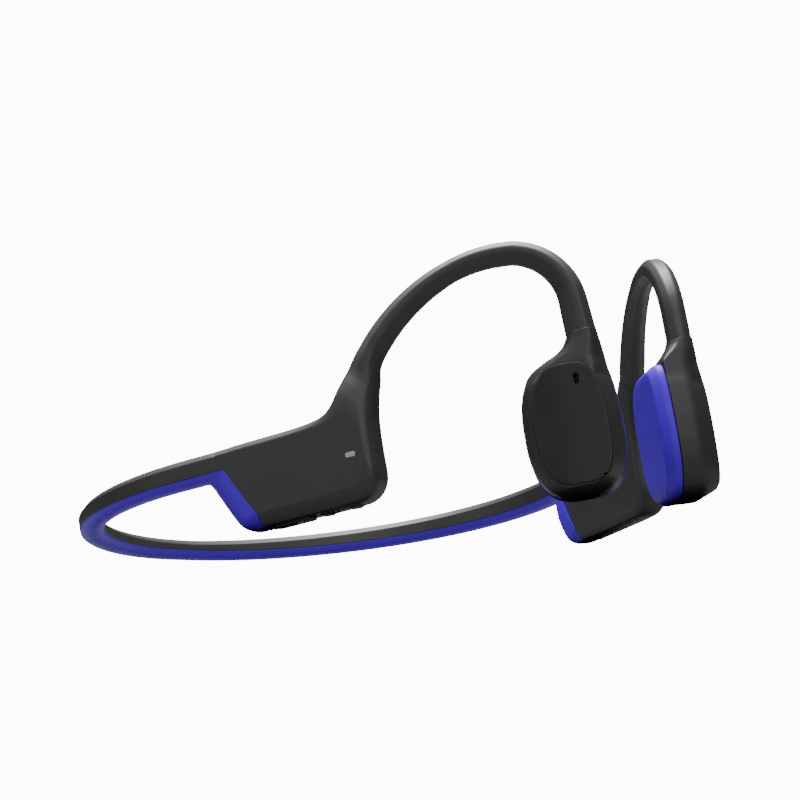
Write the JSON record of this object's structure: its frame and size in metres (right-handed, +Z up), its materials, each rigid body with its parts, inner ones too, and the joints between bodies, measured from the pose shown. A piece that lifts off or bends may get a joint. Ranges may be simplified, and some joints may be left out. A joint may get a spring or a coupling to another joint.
{
  "type": "bone conduction headphones",
  "caption": "Wraparound open-ear headset: a sprung neckband joins two housings, and hooks over the ears carry pods that press on the cheekbones.",
  "frame": {"origin": "under the middle of the headset, on the table that it lies on", "axes": "+X to the wearer's right, +Y forward, +Z up, as it lies on a table on the housings' heels and the pods"},
  "size_m": [0.1106, 0.1302, 0.0488],
  "materials": {
    "charcoal_silicone": "fine matt silicone",
    "blue_silicone": "satin silicone",
    "charcoal_soft_touch": "soft-touch matt",
    "satin_cover": "satin lacquer",
    "black_rubber": "matt",
    "nickel_titanium": "drawn wire",
    "cable_jacket": "smooth",
    "circuit_board": "solder mask",
    "chip_plastic": "moulded epoxy",
    "ceramic": "matt",
    "battery_pouch": "laminated foil",
    "copper": "enamelled wire",
    "gold_contact": "plated",
    "plated_steel": "nickel plate",
    "steel_mesh": "woven mesh",
    "light_pipe": "diffusing"
  },
  "bodies": {
    "headset": {"neckband_spring_wire": "nickel_titanium", "neckband_cable": "cable_jacket", "right_hook_wire": "nickel_titanium", "left_hook_wire": "nickel_titanium", "right_hook_leads": "cable_jacket", "left_hook_leads": "cable_jacket", "right_housing_outer_shell": "charcoal_soft_touch", "right_housing_inner_shell": "charcoal_soft_touch", "left_housing_outer_shell": "charcoal_soft_touch", "left_housing_inner_shell": "charcoal_soft_touch", "right_housing_gasket": "black_rubber", "left_housing_gasket": "black_rubber", "rocker_pin": "plated_steel", "volume_switches": "chip_plastic", "switch_board": "circuit_board", "charging_contacts": "gold_contact", "charging_port": "black_rubber", "charging_magnets": "plated_steel", "main_circuit_board": "circuit_board", "bluetooth_module": "chip_plastic", "chip_antenna": "ceramic", "power_chip": "chip_plastic", "status_led": "ceramic", "status_light_pipe": "light_pipe", "battery_cell": "battery_pouch", "battery_protection_board": "circuit_board", "neckband_cover": "charcoal_silicone", "neckband_trim": "blue_silicone", "right_ear_hook": "charcoal_silicone", "left_ear_hook": "charcoal_silicone", "right_pod_shell": "charcoal_soft_touch", "left_pod_shell": "charcoal_soft_touch", "right_contact_pad": "blue_silicone", "left_contact_pad": "blue_silicone", "right_pod_plate": "satin_cover", "right_plate_adhesive": "black_rubber", "multifunction_switch": "chip_plastic", "multifunction_board": "circuit_board", "right_microphone": "plated_steel", "left_microphone": "plated_steel", "right_mic_mesh": "steel_mesh", "left_mic_mesh": "steel_mesh", "right_drive_plate": "plated_steel", "left_drive_plate": "plated_steel", "right_voice_coil": "copper", "left_voice_coil": "copper"},
    "volume_rocker": {"volume_rocker": "black_rubber"},
    "multifunction_button": {"multifunction_button": "satin_cover"},
    "right_driver": {"right_magnet_yoke": "plated_steel", "right_magnet": "plated_steel", "right_suspension_spring": "nickel_titanium"},
    "left_driver": {"left_magnet_yoke": "plated_steel", "left_magnet": "plated_steel", "left_suspension_spring": "nickel_titanium"}
  },
  "joints": [
    {"name": "volume_rocker_tilt", "type": "hinge", "parent": "headset", "child": "volume_rocker", "pos_m": [0.04156, 0.02196, 0.00293], "axis": [0.9613, 0.274, 0.0302], "range_deg": [-2.5, 2.5], "stiffness_Nm_per_rad": 0.02},
    {"name": "multifunction_press", "type": "slide", "parent": "headset", "child": "multifunction_button", "axis": [0.8192, -0.5701, -0.0628], "range_m": [0, 0.0003], "stiffness_N_per_m": 2000},
    {"name": "right_driver_vibration", "type": "slide", "parent": "headset", "child": "right_driver", "axis": [0.8192, 0.5701, 0.0628], "range_m": [-0.00015, 0.00015], "stiffness_N_per_m": 2000},
    {"name": "left_driver_vibration", "type": "slide", "parent": "headset", "child": "left_driver", "axis": [-0.8192, 0.5701, 0.0628], "range_m": [-0.00015, 0.00015], "stiffness_N_per_m": 2000}
  ]
}
